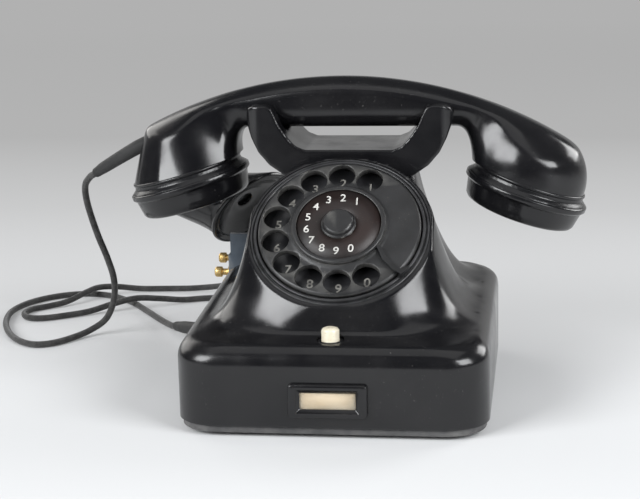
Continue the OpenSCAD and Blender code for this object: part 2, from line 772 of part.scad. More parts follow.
handset_route = [sleeve_tip + end_gap * sleeve_way, sleeve_tip + 3 * sleeve_way, sleeve_tip + 6 * sleeve_way,
    [-149.5, 65, 90.5], [-149.5, 67.5, 80], [-146, 71, 63], [-142, 75, 48],
    [-140, 79, 35], [-142, 84, 22], [-148, 88, 10], [-157, 86, 3.6], [-165, 75, 2], [-173, 64, 2], [-183, 61, 2],
    [-195, 70, 2], [-206, 88, 2], [-214, 110, 2], [-217, 132, 2], [-212, 152, 2], [-200, 167, 2], [-184, 174, 2],
    [-167, 170, 2], [-150, 155, 2], [-136, 135, 2], [-122, 112, 2.8],
    gland_tip + 8 * gland_way, gland_tip + 4 * gland_way, gland_tip + end_gap * gland_way];

module handset_cord() {
    color([0.1, 0.1, 0.11])
    tube(smooth_route(handset_route, 2), cord_r, cord_r, 8);
}

// Second receiver on its hook

plate_y = by;
post_x = -75.3;

module hook_bracket() {
    color([0.2, 0.24, 0.28])
    difference() {
        union() {
            translate([0, plate_y + 3, 0]) rotate([90, 0, 0]) linear_extrude(3)
                polygon([[-36, 14], [-36, 36], [-55, 42], [-58, 48], [-58, 61], [-74, 61], [-74, 36], [-52, 14]]);
            translate([post_x, plate_y, 30]) cube([7, 45, 19]);
            at_listener() translate([21, 8, 0.5]) cube([10, 8, 3]);
        }
        for (z = [20, 31]) translate([-44, plate_y - 1, z]) rotate([-90, 0, 0])
            cylinder(h = 6, r = 1.8 + run_gap, $fn = 24);
    }
}

// World place of a point given in the frame of the second receiver.
function listener_point(x, y, z) = sr + x * [-0.48, 0.36, -0.8] + y * [0.6, 0.8, 0] + z * [0.64, -0.48, -0.6];

module bracket_screws() {
    color([0.7, 0.66, 0.5])
    for (z = [20, 31]) translate([-44, plate_y, z]) rotate([-90, 0, 0]) {
        cylinder(h = 3.2, r = 1.8, $fn = 24);
        translate([0, 0, 3]) cylinder(h = 1.8, r = 3.2, $fn = 32);
    }
}

module binding_posts() {
    color([0.8, 0.62, 0.25])
    for (p = [[plate_y + 19, 43], [plate_y + 6, 38]]) translate([post_x, p[0], p[1]]) rotate([0, -90, 0])
        rotate_extrude($fn = 32)
            polygon([[0, 0], [3.2, 0], [3.2, 1.2], [1.8, 1.6], [1.8, 4.4], [2.9, 5], [2.9, 8], [2.2, 8.8], [0, 8.8]]);
}

// The shell behind the cap leans to one side and ends in a short grip.
shell_lean = [0.52, -0.47];
shell_from = 3.4;
shell = [[shell_from, 24.8], [6, 24], [10, 22.4], [16, 20.6], [24, 18.8], [32, 17], [40, 14.8], [44, 12.6],
    [46.5, 9.6], [47.8, 5.5]];

function shell_ring(d, r) = [for (i = [0:39])
    [shell_lean.x * (d - shell_from) + r * cos(9 * i), shell_lean.y * (d - shell_from) - r * sin(9 * i), -d]];

module listener_body() {
    color([0.03, 0.03, 0.035])
    at_listener() {
        difference() {
            skin([for (q = shell) shell_ring(q[0], q[1])]);
            skin([shell_ring(shell_from - 1, 21.5), shell_ring(12.6, 19.5)]);
        }
        translate([6.6, 10, -16]) rotate([-90, 0, 0]) cylinder(h = 10, r = 3.6, $fn = 32);
    }
}

module listener_cap() {
    color([0.03, 0.03, 0.035])
    at_listener() difference() {
        rotate_extrude($fn = 96)
            polygon([[0, -8], [9, -7.4], [16, -5], [20.4, -2.4], [21.6, -1.4], [22.4, -2.2], [23.6, -1], [24.8, 0],
                     [25.8, -0.4], [sr_r, -1.4], [25.8, -2.8], [24.8, -3.4], [21.4, -3.4], [17, -6.6], [9, -9.2],
                     [0, -9.8]]);
        translate([0, 0, -14]) cylinder(h = 12, r = 4.6, $fn = 40);
    }
}

module listener_capsule() {
    color([0.6, 0.58, 0.52])
    at_listener() translate([3, -2.7, -12.6]) cylinder(h = 2.4, r = 15, $fn = 56);
}

listener_route = [listener_point(6.6, 20, -16), listener_point(6.6, 22, -16), listener_point(6.6, 24, -16),
    [-59.5, 140, 72.8], [-56.5, 147, 65.5], [-56, 153, 53], [-59, 159, 38], [-65, 164, 23], [-74, 167, 11],
    [-86, 169, 3.6], [-98, 169, 2], [-109, 166, 2], [-120, 160, 2.6], [-132, 153, 5], [-145, 147, 6.6], [-157, 140, 5],
    [-170, 131, 2.4], [-183, 122, 2], [-194, 116, 2], [-203, 117, 2], [-208, 126, 2], [-206, 136, 2], [-198, 144, 2],
    [-189, 151, 3], [-181, 162, 5.6], [-175, 172, 6.6], [-166, 181, 5], [-152, 187, 2.4], [-136, 188.5, 2.2],
    [-120, 188.5, 2.6], [-104, 184, 5], [-90, 173, 9.5], [-79, 159, 15.5], [-71, 144, 21.5], [-66, 129, 27],
    [-63.5, 116, 32.5], [-62.2, 104, 37.5], [-62, 95, 39.8], [-62, 89.5, 40], [-62, 84, 40]];

module listener_cord() {
    color([0.1, 0.1, 0.11])
    tube(smooth_route(listener_route, 2), cord_r, cord_r, 8);
}

module line_grommet() {
    color([0.06, 0.06, 0.06])
    translate([line_x, by, line_z]) rotate([-90, 0, 0]) difference() {
        union() {
            translate([0, 0, -wall - 1]) cylinder(h = wall + 1, r = 4, $fn = 32);
            cylinder(h = frame_t, r = 6, $fn = 32);
        }
        translate([0, 0, -10]) cylinder(h = 20, r = 2.2, $fn = 24);
    }
}

housing();
base_plate();
base_screws();
rubber_feet();
label_frame();
label_card();
label_window();
button_collar();
earth_button();
button_spring_set();
dial_bezel();
dial_number_ring();
finger_stop();
dial_frame();
finger_wheel();
dial_card();
dial_card_ring();
dial_centre_cap();
dial_shaft();
dial_gear();
governor();
ringer_frame();
ringer_coils();
gong_left();
gong_right();
gong_posts();
clapper();
induction_coil();
capacitor();
terminal_block();
terminal_screws();
hook_frame();
hook_contacts();
hook_lever();
cradle();
cradle_stem();
cradle_guide();
handset_body();
transmitter_collar();
receiver_collar();
transmitter_cap();
receiver_cap();
transmitter_capsule();
receiver_capsule();
handset_cord_sleeve();
handset_cord_gland();
handset_cord();
hook_bracket();
bracket_screws();
binding_posts();
listener_body();
listener_cap();
listener_capsule();
listener_cord();
line_grommet();
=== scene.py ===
import math

import bmesh
import bpy
import numpy as np
from mathutils import Matrix, Vector


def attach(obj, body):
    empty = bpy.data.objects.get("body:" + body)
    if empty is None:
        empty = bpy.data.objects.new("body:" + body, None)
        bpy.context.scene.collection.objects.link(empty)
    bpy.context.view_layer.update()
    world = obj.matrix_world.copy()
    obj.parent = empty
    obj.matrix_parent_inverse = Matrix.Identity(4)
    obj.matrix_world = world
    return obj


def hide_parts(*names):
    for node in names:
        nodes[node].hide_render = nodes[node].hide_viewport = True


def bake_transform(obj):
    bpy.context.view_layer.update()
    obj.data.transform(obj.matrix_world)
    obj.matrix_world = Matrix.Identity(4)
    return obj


# Desk telephone: looks around the solids of the frame. Shapes are in millimetres, and the camera,
# lights and materials are in metres.

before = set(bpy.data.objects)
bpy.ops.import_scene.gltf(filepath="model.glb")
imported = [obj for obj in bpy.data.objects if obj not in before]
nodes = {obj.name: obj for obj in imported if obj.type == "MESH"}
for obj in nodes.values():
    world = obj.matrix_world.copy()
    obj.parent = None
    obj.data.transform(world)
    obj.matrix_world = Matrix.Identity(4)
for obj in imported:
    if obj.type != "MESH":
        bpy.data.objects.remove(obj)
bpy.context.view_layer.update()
scene = bpy.context.scene
scene.view_settings.view_transform = "Standard"

MM = 0.001
QUARTER = math.radians(90)

# Sizes shared with the solids

BX, BY = 73.0, 81.0                         # half width and half depth of the case
FRONT_H, SLOPE = 43.0, 6.0 / 162.0          # ledge: height at the front, rise towards the rear
EDGE_R, EDGE_TURN = 9.0, 78                 # rounded edge of the ledge and the degrees it turns
CORNER_R, WALL, CASE_Z = 20.0, 3.5, 5.5
NECK_TOP, NECK_W, NECK_CORNER = 104.0, 62.0, 15
NECK_FRONT, NECK_REAR = 22.5, 20.5          # reach of the neck before and behind REST_Y
SWEEP = 2.25                                # hollow of the case between ledge and neck
REST_Y = 40.5                               # middle of cradle and handset
DIAL = Matrix.Translation((0, -26.6, 88)) @ Matrix.Rotation(math.radians(41.8), 4, "X")
TO_DIAL = DIAL.inverted()
BEZEL_R = 43.4
SKIRT_R, SKIRT_Z, SKIRT_SWEEP = BEZEL_R + 2.1, -2.4, 1.9        # seat of the dial on the case
SKIRT_ARC = 64                              # degrees of its rim that belong to one corner
BUTTON_Y, LABEL_Z = -66.5, 18.8
GLAND_Y, GLAND_Z = 58, 12
LINE_X, LINE_Z = 24, 14
SADDLE_Z = 126.6
HANDLE_TOP, HANDLE_UNDER, HANDLE_HW = 152.3, 127.0, 13.5
BOWL_R = 28.2
BOWLS = {-1: (-87.8, 105.2, 16.0), 1: (90.0, 100.6, 19.0)}      # x, z and tilt of each bowl's seat
CROWN_R, CROWN_X, FILLET_X = 216.0, -5.6, 53.0
CORD_R = 1.8


# Mesh helpers

def make(name, verts, faces):
    mesh = bpy.data.meshes.new(name)
    mesh.from_pydata([Vector(v) * MM for v in verts], [], faces)
    mesh.update()
    obj = bpy.data.objects.new(name, mesh)
    scene.collection.objects.link(obj)
    return obj


def tidy(obj):
    bm = bmesh.new()
    bm.from_mesh(obj.data)
    bmesh.ops.remove_doubles(bm, verts=bm.verts, dist=1e-7)
    bmesh.ops.recalc_face_normals(bm, faces=bm.faces)
    bm.to_mesh(obj.data)
    bm.free()
    return obj


def skin(name, rings):
    """Closed solid through rings that all have the same number of points."""
    n = len(rings[0])
    faces = [list(range(n))[::-1]]
    for i in range(len(rings) - 1):
        for j in range(n):
            k = (j + 1) % n
            faces.append((i * n + j, i * n + k, (i + 1) * n + k, (i + 1) * n + j))
    faces.append([(len(rings) - 1) * n + j for j in range(n)])
    return tidy(make(name, [p for r in rings for p in r], faces))


def lathe(name, outline, n, place=Matrix.Identity(4)):
    """Turned solid through (radius, height) points, closed flat at both ends."""
    rings = []
    for r, z in outline:
        rings.append([place @ Vector((r * math.cos(2 * math.pi * i / n),
                                      r * math.sin(2 * math.pi * i / n), z))
                      for i in range(n)])
    return skin(name, rings)


def disc(name, r, z0, z1, place=Matrix.Identity(4), n=128):
    return lathe(name, [(r, z0), (r, z1)], n, place)


def block(name, lo, hi):
    rings = []
    for z in (lo[2], hi[2]):
        rings.append([(lo[0], lo[1], z), (hi[0], lo[1], z), (hi[0], hi[1], z), (lo[0], hi[1], z)])
    return skin(name, rings)


def upright(x, y):
    return Matrix.Translation((x, y, 0))


def lying(place, axis):
    return Matrix.Translation(place) @ Matrix.Rotation(QUARTER, 4, axis)


def bake(obj):
    deps = bpy.context.evaluated_depsgraph_get()
    mesh = bpy.data.meshes.new_from_object(obj.evaluated_get(deps))
    obj.modifiers.clear()
    obj.data = mesh
    mesh.name = obj.name


def combine(obj, others, operation):
    for other in others:
        mod = obj.modifiers.new("b", "BOOLEAN")
        mod.operation = operation
        mod.solver = "MANIFOLD"
        mod.object = other
        bake(obj)
        bpy.data.objects.remove(other)


def smoother(obj, steps):
    mod = obj.modifiers.new("s", "SMOOTH")
    mod.factor = 0.5
    mod.iterations = steps
    return mod


def soften(obj, voxel, steps):
    """Rounds every edge of a solid."""
    mod = obj.modifiers.new("r", "REMESH")
    mod.mode = "VOXEL"
    mod.voxel_size = voxel * MM
    smoother(obj, steps)
    bake(obj)


def fair(obj, weight, steps):
    """Smooths a mesh where weight, a function of the place in millimetres, is above zero."""
    group = obj.vertex_groups.new(name="fair")
    for v in obj.data.vertices:
        group.add([v.index], weight(v.co / MM), "REPLACE")
    smoother(obj, steps).vertex_group = group.name
    bake(obj)
    obj.vertex_groups.clear()


def fade(value, lo, hi):
    return min(max((value - lo) / (hi - lo), 0.0), 1.0)


def surface(name, field, lo, hi, step):
    """Closed mesh where a distance field over a grid is zero."""
    axes = [np.arange(a, b + step, step) for a, b in zip(lo, hi)]
    v = field(*np.meshgrid(*axes, indexing="ij"))
    inside = v < 0
    cells = tuple(n - 1 for n in v.shape)

    def cut(a, d):
        return a[d[0]:d[0] + cells[0], d[1]:d[1] + cells[1], d[2]:d[2] + cells[2]]

    # one point in each cell that the surface crosses, in the middle of its crossings
    corners = [(i, j, k) for i in (0, 1) for j in (0, 1) for k in (0, 1)]
    count = sum(cut(inside, c).astype(np.int8) for c in corners)
    live = (count > 0) & (count < 8)
    where = np.argwhere(live)
    total = np.zeros((len(where), 3))
    hits = np.zeros(len(where))
    for a in corners:
        for axis in range(3):
            if a[axis]:
                continue
            b = tuple(c + (n == axis) for n, c in enumerate(a))
            va, vb = cut(v, a)[live], cut(v, b)[live]
            cross = (va < 0) != (vb < 0)
            t = np.where(cross, va / np.where(cross, va - vb, 1), 0)
            spot = where + np.array(a, float)
            spot[:, axis] += t
            total += spot * cross[:, None]
            hits += cross
    points = np.array(lo) + step * total / hits[:, None]
    index = -np.ones(cells, int)
    index[live] = np.arange(len(where))

    # one face across each grid edge that the surface crosses
    quads = []
    for axis in range(3):
        b, c = (axis + 1) % 3, (axis + 2) % 3
        start = [slice(None)] * 3
        end = [slice(None)] * 3
        start[axis], end[axis] = slice(None, -1), slice(1, None)
        change = np.argwhere(inside[tuple(start)] != inside[tuple(end)])
        change = change[(change[:, b] > 0) & (change[:, c] > 0)]
        ring = []
        for db, dc in ((1, 1), (0, 1), (0, 0), (1, 0)):
            cell = change.copy()
            cell[:, b] -= db
            cell[:, c] -= dc
            ring.append(index[tuple(cell.T)])
        ring = np.stack(ring, 1)
        flip = ~inside[tuple(change.T)]
        ring[flip] = ring[flip][:, ::-1]
        quads.append(ring)
    return make(name, points.tolist(), np.concatenate(quads).tolist())


def soft_min(a, b, k):
    """Union of two fields with a fillet of width k."""
    h = np.maximum(k - np.abs(a - b), 0) / k
    return np.minimum(a, b) - h * h * k / 4


def soft_max(a, b, k):
    return -soft_min(-a, -b, k)


def smooth_step(t):
    c = np.clip(t, 0, 1)
    return c * c * (3 - 2 * c)


def shade(obj, angle=35):
    obj.data.shade_smooth()
    obj.data.set_sharp_from_angle(angle=math.radians(angle))
    return obj


def mix(a, b, s):
    return a + (b - a) * s


def spline(points, k):
    """Smooth route through points, with k steps between each pair."""
    p = [Vector(q) for q in points]
    out = []
    for i in range(len(p) - 1):
        a, b, c, d = p[max(i - 1, 0)], p[i], p[i + 1], p[min(i + 2, len(p) - 1)]
        for j in range(k):
            t = j / k
            out.append(0.5 * (2 * b + (c - a) * t + (2 * a - 5 * b + 4 * c - d) * t * t
                              + (3 * b - a - 3 * c + d) * t ** 3))
    return out + [p[-1]]


def tube(name, route, first, last, n):
    """Round tube along a route, whose radius runs evenly from first to last."""
    side = Vector((0.1, 0.2, 1))
    rings = []
    for i, p in enumerate(route):
        r = mix(first, last, i / (len(route) - 1))
        way = (route[min(i + 1, len(route) - 1)] - route[max(i - 1, 0)]).normalized()
        side = (side - way * side.dot(way)).normalized()
        other = way.cross(side)
        rings.append([p + r * (math.cos(2 * math.pi * j / n) * side
                               + math.sin(2 * math.pi * j / n) * other) for j in range(n)])
    return skin(name, rings)


# Material helpers

def new_material(name):
    mat = bpy.data.materials.new(name)
    mat.use_nodes = True
    tree = mat.node_tree
    return mat, tree, tree.nodes["Principled BSDF"]


def noise(tree, scale, detail=4.0, stretch=(1, 1, 1)):
    coord = tree.nodes.new("ShaderNodeTexCoord")
    place = tree.nodes.new("ShaderNodeMapping")
    place.inputs["Scale"].default_value = stretch
    tex = tree.nodes.new("ShaderNodeTexNoise")
    tex.inputs["Scale"].default_value = scale
    tex.inputs["Detail"].default_value = detail
    tex.inputs["Roughness"].default_value = 0.55
    tree.links.new(coord.outputs["Object"], place.inputs["Vector"])
    tree.links.new(place.outputs["Vector"], tex.inputs["Vector"])
    return tex.outputs["Fac"]


def levels(tree, value, lo, hi, a=0.0, b=1.0):
    node = tree.nodes.new("ShaderNodeMapRange")
    node.inputs["From Min"].default_value = lo
    node.inputs["From Max"].default_value = hi
    node.inputs["To Min"].default_value = a
    node.inputs["To Max"].default_value = b
    tree.links.new(value, node.inputs["Value"])
    return node.outputs["Result"]


def blend_colour(tree, fac, a, b):
    node = tree.nodes.new("ShaderNodeMix")
    node.data_type = "RGBA"
    tree.links.new(fac, node.inputs["Factor"])
    for key, value in ((6, a), (7, b)):
        if isinstance(value, tuple):
            node.inputs[key].default_value = (*value, 1)
        else:
            tree.links.new(value, node.inputs[key])
    return node.outputs[2]


def blend_shader(tree, fac, a, b):
    node = tree.nodes.new("ShaderNodeMixShader")
    tree.links.new(fac, node.inputs["Fac"])
    tree.links.new(a, node.inputs[1])
    tree.links.new(b, node.inputs[2])
    return node.outputs["Shader"]


def math_node(tree, operation, *values):
    node = tree.nodes.new("ShaderNodeMath")
    node.operation = operation
    for i, value in enumerate(values):
        tree.links.new(value, node.inputs[i])
    return node.outputs[0]


def times(tree, a, b):
    return math_node(tree, "MULTIPLY", a, b)


def relief(tree, shader, value, strength):
    node = tree.nodes.new("ShaderNodeBump")
    node.inputs["Strength"].default_value = strength
    node.inputs["Distance"].default_value = 0.0004
    tree.links.new(value, node.inputs["Height"])
    tree.links.new(node.outputs["Normal"], shader.inputs["Normal"])


def edge_wear(tree, lo, hi):
    geo = tree.nodes.new("ShaderNodeNewGeometry")
    return levels(tree, geo.outputs["Pointiness"], lo, hi)


def finish_of(name, dark, light, rough, metal=0.0, spec=0.5, patch=45.0, grain=900.0, bump=0.05,
              wear=None, wear_at=(0.53, 0.6), specks=None, stretch=(1, 1, 1)):
    """Surface of two tones in patches, with uneven gloss, grain and, if given, wear and dust."""
    mat, tree, shader = new_material(name)
    patches = levels(tree, noise(tree, patch, stretch=stretch), 0.35, 0.68)
    colour = blend_colour(tree, patches, dark, light)
    if specks:
        dust = times(tree, levels(tree, noise(tree, 1100.0, 2.0), 0.7, 0.76),
                     levels(tree, noise(tree, 24.0), 0.42, 0.62))
        colour = blend_colour(tree, dust, colour, specks)
    if wear:
        worn = times(tree, edge_wear(tree, *wear_at), levels(tree, noise(tree, 160.0), 0.3, 0.62))
        colour = blend_colour(tree, worn, colour, wear)
    tree.links.new(colour, shader.inputs["Base Color"])
    gloss = levels(tree, noise(tree, patch * 2.2, 6.0, stretch), 0.3, 0.7, *rough)
    tree.links.new(gloss, shader.inputs["Roughness"])
    relief(tree, shader, noise(tree, grain, 3.0, stretch), bump)
    shader.inputs["Metallic"].default_value = metal
    shader.inputs["Specular IOR Level"].default_value = spec
    return mat


# Materials

BAKELITE = finish_of("bakelite_black", (0.004, 0.004, 0.005), (0.009, 0.0088, 0.0095),
                     (0.13, 0.27), patch=28.0, grain=420.0, bump=0.03,
                     wear=(0.05, 0.049, 0.049), wear_at=(0.53, 0.64), specks=(0.12, 0.115, 0.11))
EBONITE = finish_of("collar_black", (0.004, 0.004, 0.005), (0.009, 0.0088, 0.0095),
                    (0.24, 0.34), patch=28.0, grain=420.0, bump=0.004)
ENAMEL = finish_of("wheel_enamel", (0.009, 0.009, 0.0095), (0.02, 0.02, 0.021),
                   (0.3, 0.5), patch=60.0, grain=1000.0, bump=0.12,
                   wear=(0.2, 0.195, 0.18), wear_at=(0.52, 0.58), specks=(0.14, 0.12, 0.1))
RING = finish_of("ring_enamel", (0.012, 0.012, 0.013), (0.022, 0.022, 0.024),
                 (0.3, 0.45), patch=70.0, grain=1300.0, specks=(0.16, 0.15, 0.14))
CARD = finish_of("dial_card_brown", (0.006, 0.005, 0.0048), (0.018, 0.009, 0.0075),
                 (0.4, 0.55), patch=38.0, grain=1800.0, bump=0.05, specks=(0.15, 0.12, 0.1))
# digits under the finger wheel: grey for dirt, and darker still for the painted shade of the holes
# they are seen through
DIGIT_DIRT_AND_SHADE = finish_of("digit_dirt_and_painted_shade", (0.12, 0.115, 0.105), (0.34, 0.33, 0.3),
                 (0.5, 0.65), patch=260.0, grain=2200.0)
WHITE = finish_of("digit_white", (0.42, 0.415, 0.39), (0.62, 0.61, 0.58),
                  (0.45, 0.6), patch=220.0, grain=2200.0)
BLACKENED = finish_of("bezel_black", (0.014, 0.014, 0.015), (0.04, 0.04, 0.042),
                      (0.28, 0.42), metal=0.2, patch=120.0, wear=(0.22, 0.215, 0.2))
STOP = finish_of("stop_dark", (0.006, 0.006, 0.0065), (0.014, 0.014, 0.015),
                 (0.35, 0.5), patch=120.0)
STEEL = finish_of("steel_plain", (0.42, 0.42, 0.43), (0.56, 0.56, 0.57),
                  (0.26, 0.42), metal=1.0, patch=90.0, stretch=(1, 1, 6), wear=(0.75, 0.75, 0.74))
NICKEL = finish_of("screw_nickel", (0.5, 0.48, 0.42), (0.66, 0.63, 0.56),
                   (0.2, 0.36), metal=1.0, patch=140.0)
BRASS = finish_of("brass_aged", (0.55, 0.36, 0.12), (0.78, 0.57, 0.26),
                  (0.3, 0.5), metal=0.85, patch=110.0, wear=(0.85, 0.63, 0.3))
PAINT = finish_of("plate_paint", (0.035, 0.035, 0.037), (0.06, 0.06, 0.062),
                  (0.4, 0.6), patch=50.0, grain=700.0, bump=0.15, wear=(0.3, 0.29, 0.28))
BRACKET = finish_of("bracket_paint", (0.05, 0.065, 0.085), (0.11, 0.135, 0.165),
                    (0.3, 0.5), metal=0.3, patch=48.0, wear=(0.42, 0.42, 0.42),
                    specks=(0.3, 0.3, 0.3))
RUBBER = finish_of("rubber_foot", (0.01, 0.01, 0.01), (0.022, 0.021, 0.02),
                   (0.6, 0.8), spec=0.3, bump=0.2)
CREAM = finish_of("button_cream", (0.64, 0.58, 0.44), (0.74, 0.68, 0.54),
                  (0.22, 0.36), patch=130.0, specks=(0.3, 0.24, 0.15))
PAPER = finish_of("paper_aged", (0.5, 0.39, 0.255), (0.62, 0.51, 0.365),
                  (0.65, 0.85), spec=0.25, patch=75.0, grain=2600.0, bump=0.12,
                  specks=(0.36, 0.25, 0.14))
COPPER = finish_of("wire_copper", (0.16, 0.05, 0.025), (0.36, 0.13, 0.06),
                   (0.25, 0.4), metal=0.7, patch=60.0, grain=2400.0, bump=0.4, stretch=(1, 1, 14))
TIN = finish_of("tin_can", (0.32, 0.33, 0.34), (0.48, 0.49, 0.49),
                (0.3, 0.5), metal=1.0, patch=55.0)
BROWN = finish_of("moulded_brown", (0.05, 0.02, 0.01), (0.1, 0.04, 0.02), (0.2, 0.36), patch=36.0)
SLEEVE = finish_of("sleeve_rubber", (0.014, 0.014, 0.014), (0.03, 0.03, 0.03),
                   (0.5, 0.7), spec=0.35, grain=1200.0, bump=0.2, wear=(0.09, 0.088, 0.085))


def braid_material():
    mat, tree, shader = new_material("cord_braid")
    colour = blend_colour(tree, levels(tree, noise(tree, 260.0), 0.36, 0.64),
                          (0.016, 0.016, 0.016), (0.045, 0.044, 0.043))
    fuzz = levels(tree, noise(tree, 2600.0, 2.0), 0.5, 0.8)
    tree.links.new(blend_colour(tree, fuzz, colour, (0.1, 0.098, 0.094)),
                   shader.inputs["Base Color"])
    shader.inputs["Roughness"].default_value = 0.78
    shader.inputs["Specular IOR Level"].default_value = 0.25
    shader.inputs["Sheen Weight"].default_value = 0.25
    coord = tree.nodes.new("ShaderNodeTexCoord")
    weave = tree.nodes.new("ShaderNodeTexVoronoi")
    weave.inputs["Scale"].default_value = 1500.0
    tree.links.new(coord.outputs["Object"], weave.inputs["Vector"])
    relief(tree, shader, weave.outputs["Distance"], 0.5)
    return mat


def window_material():
    mat, tree, shader = new_material("window_clear")
    tint = blend_colour(tree, levels(tree, noise(tree, 90.0), 0.4, 0.7),
                        (0.9, 0.84, 0.7), (0.8, 0.7, 0.52))
    tree.links.new(tint, shader.inputs["Base Color"])
    gloss = levels(tree, noise(tree, 240.0), 0.3, 0.7, 0.08, 0.24)
    tree.links.new(gloss, shader.inputs["Roughness"])
    shader.inputs["Alpha"].default_value = 0.12
    return mat


BRAID = braid_material()
CLEAR = window_material()


def dress(obj, mat):
    obj.data.materials.clear()
    obj.data.materials.append(mat)
    for p in obj.data.polygons:
        p.material_index = 0


def piece(obj, body, mat):
    dress(obj, mat)
    if body:
        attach(obj, body)


# Camera of the photograph

CAMERA_AT, LENS = (0.0997, -0.8134, 0.257), 95.51
back = Vector((0.134, -0.966, 0.221)).normalized()
right = Vector((0.991, 0.133, -0.023))
right = (right - back * right.dot(back)).normalized()
turn = Matrix((right, back.cross(right), back)).transposed().to_4x4()
camera = bpy.data.objects.new("camera", bpy.data.cameras.new("camera"))
scene.collection.objects.link(camera)
camera.matrix_world = Matrix.Translation(CAMERA_AT) @ turn
camera.data.sensor_fit = "HORIZONTAL"
camera.data.sensor_width = 36
camera.data.lens = LENS
camera.data.clip_start = 0.01
scene.camera = camera

# Cords, with the sleeve on the handset and the gland in the case

SLEEVE_TIP, SLEEVE_WAY = Vector((-141, 58, 99)), Vector((-14, 10, -9)).normalized()
SLEEVE_ROOT = Vector((-105.5, 38.5, 119))
GLAND_TIP, GLAND_WAY = Vector((-108, 90, 5.5)), Vector((-9, 12, -2.5)).normalized()
SLEEVE_R, GLAND_R = (4.0, 2.6), (4.6, 2.6)      # radius at the root and at the tip
LISTENER_AT = Vector((-65, 104, 70))
LISTENER_X = Vector((-0.48, 0.36, -0.8))
LISTENER_Y = Vector((0.6, 0.8, 0))
LISTENER_Z = Vector((0.64, -0.48, -0.6))


def listener_point(x, y, z):
    """Place given along the three axes of the second receiver."""
    return LISTENER_AT + x * LISTENER_X + y * LISTENER_Y + z * LISTENER_Z


handset_route = [
    SLEEVE_TIP + 0.05 * SLEEVE_WAY, SLEEVE_TIP + 3 * SLEEVE_WAY, SLEEVE_TIP + 6 * SLEEVE_WAY,
    (-149.5, 65, 90.5), (-149.5, 67.5, 80), (-146, 71, 63), (-142, 75, 48), (-140, 79, 35),
    (-142, 84, 22), (-148, 88, 10), (-157, 86, 3.6), (-165, 75, 2), (-173, 64, 2), (-183, 61, 2),
    (-195, 70, 2), (-206, 88, 2), (-214, 110, 2), (-217, 132, 2), (-212, 152, 2), (-200, 167, 2),
    (-184, 174, 2), (-167, 170, 2), (-150, 155, 2), (-136, 135, 2), (-122, 112, 2.8),
    GLAND_TIP + 8 * GLAND_WAY, GLAND_TIP + 4 * GLAND_WAY, GLAND_TIP + 0.05 * GLAND_WAY]
listener_route = [
    listener_point(6.6, 20, -16), listener_point(6.6, 22, -16), listener_point(6.6, 24, -16),
    (-59.5, 140, 72.8), (-56.5, 147, 65.5), (-56, 153, 53), (-59, 159, 38), (-65, 164, 23),
    (-74, 167, 11), (-86, 169, 3.6), (-98, 169, 2), (-109, 166, 2), (-120, 160, 2.6),
    (-132, 153, 5), (-145, 147, 6.6), (-157, 140, 5), (-170, 131, 2.4), (-183, 122, 2),
    (-194, 116, 2), (-203, 117, 2), (-208, 126, 2), (-206, 136, 2), (-198, 144, 2), (-189, 151, 3),
    (-181, 162, 5.6), (-175, 172, 6.6), (-166, 181, 5), (-152, 187, 2.4), (-136, 188.5, 2.2),
    (-120, 188.5, 2.6), (-104, 184, 5), (-90, 173, 9.5), (-79, 159, 15.5), (-71, 144, 21.5),
    (-66, 129, 27), (-63.5, 116, 32.5), (-62.2, 104, 37.5), (-62, 95, 39.8), (-62, 89.5, 40),
    (-62, 84, 40)]


def lay_cord(name, points, node):
    route = spline(points, 7)
    obj = shade(tube(name, route, CORD_R, CORD_R, 14), 60)
    piece(obj, None, BRAID)
    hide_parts(node)
    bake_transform(obj)


lay_cord("cord_handset", handset_route, "handset_cord")
lay_cord("cord_listener", listener_route, "listener_cord")

sleeve_route = spline([SLEEVE_ROOT, SLEEVE_ROOT + Vector((-8, 2.5, -3.5)), (-124, 46, 109.5),
                       SLEEVE_TIP - 8 * SLEEVE_WAY, SLEEVE_TIP - 4 * SLEEVE_WAY, SLEEVE_TIP], 10)
sleeve = shade(tube("sleeve_handset", sleeve_route, *SLEEVE_R, 32))
piece(sleeve, "handset", SLEEVE)
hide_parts("handset_cord_sleeve")

gland_route = spline([(-BX + 4, GLAND_Y, GLAND_Z), (-BX - 4, GLAND_Y, GLAND_Z), (-88, 66, 10.5),
                      GLAND_TIP - 12 * GLAND_WAY, GLAND_TIP - 6 * GLAND_WAY, GLAND_TIP], 10)
gland = tube("gland_handset", gland_route, *GLAND_R, 32)
combine(gland, [lathe("flange", [(5.8, 0), (6.6, 0.6), (6.6, 1.6)], 64,
                      lying((-BX - 1.6, GLAND_Y, GLAND_Z), "Y"))], "UNION")
piece(shade(gland), "base", SLEEVE)
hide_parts("handset_cord_gland")


# Moulded case

def plan(hx, yf, yr, rc, q):
    """Rounded oblong of half width hx from yf to yr, with q steps in each corner."""
    out = []
    for c in range(4):
        cx = hx - rc if c in (0, 3) else rc - hx
        cy = yr - rc if c < 2 else yf + rc
        for i in range(q + 1):
            a = math.radians(c * 90 + i * 90 / q)
            out.append((cx + rc * math.cos(a), cy + rc * math.sin(a)))
    return out


def case_ring(hx, yf, yr, rc, z, k, q):
    """Oblong at height z that rises towards the rear by k times the ledge's slope."""
    return [(x, y, z + k * SLOPE * (y + BY)) for x, y in plan(hx, yf, yr, rc, q)]


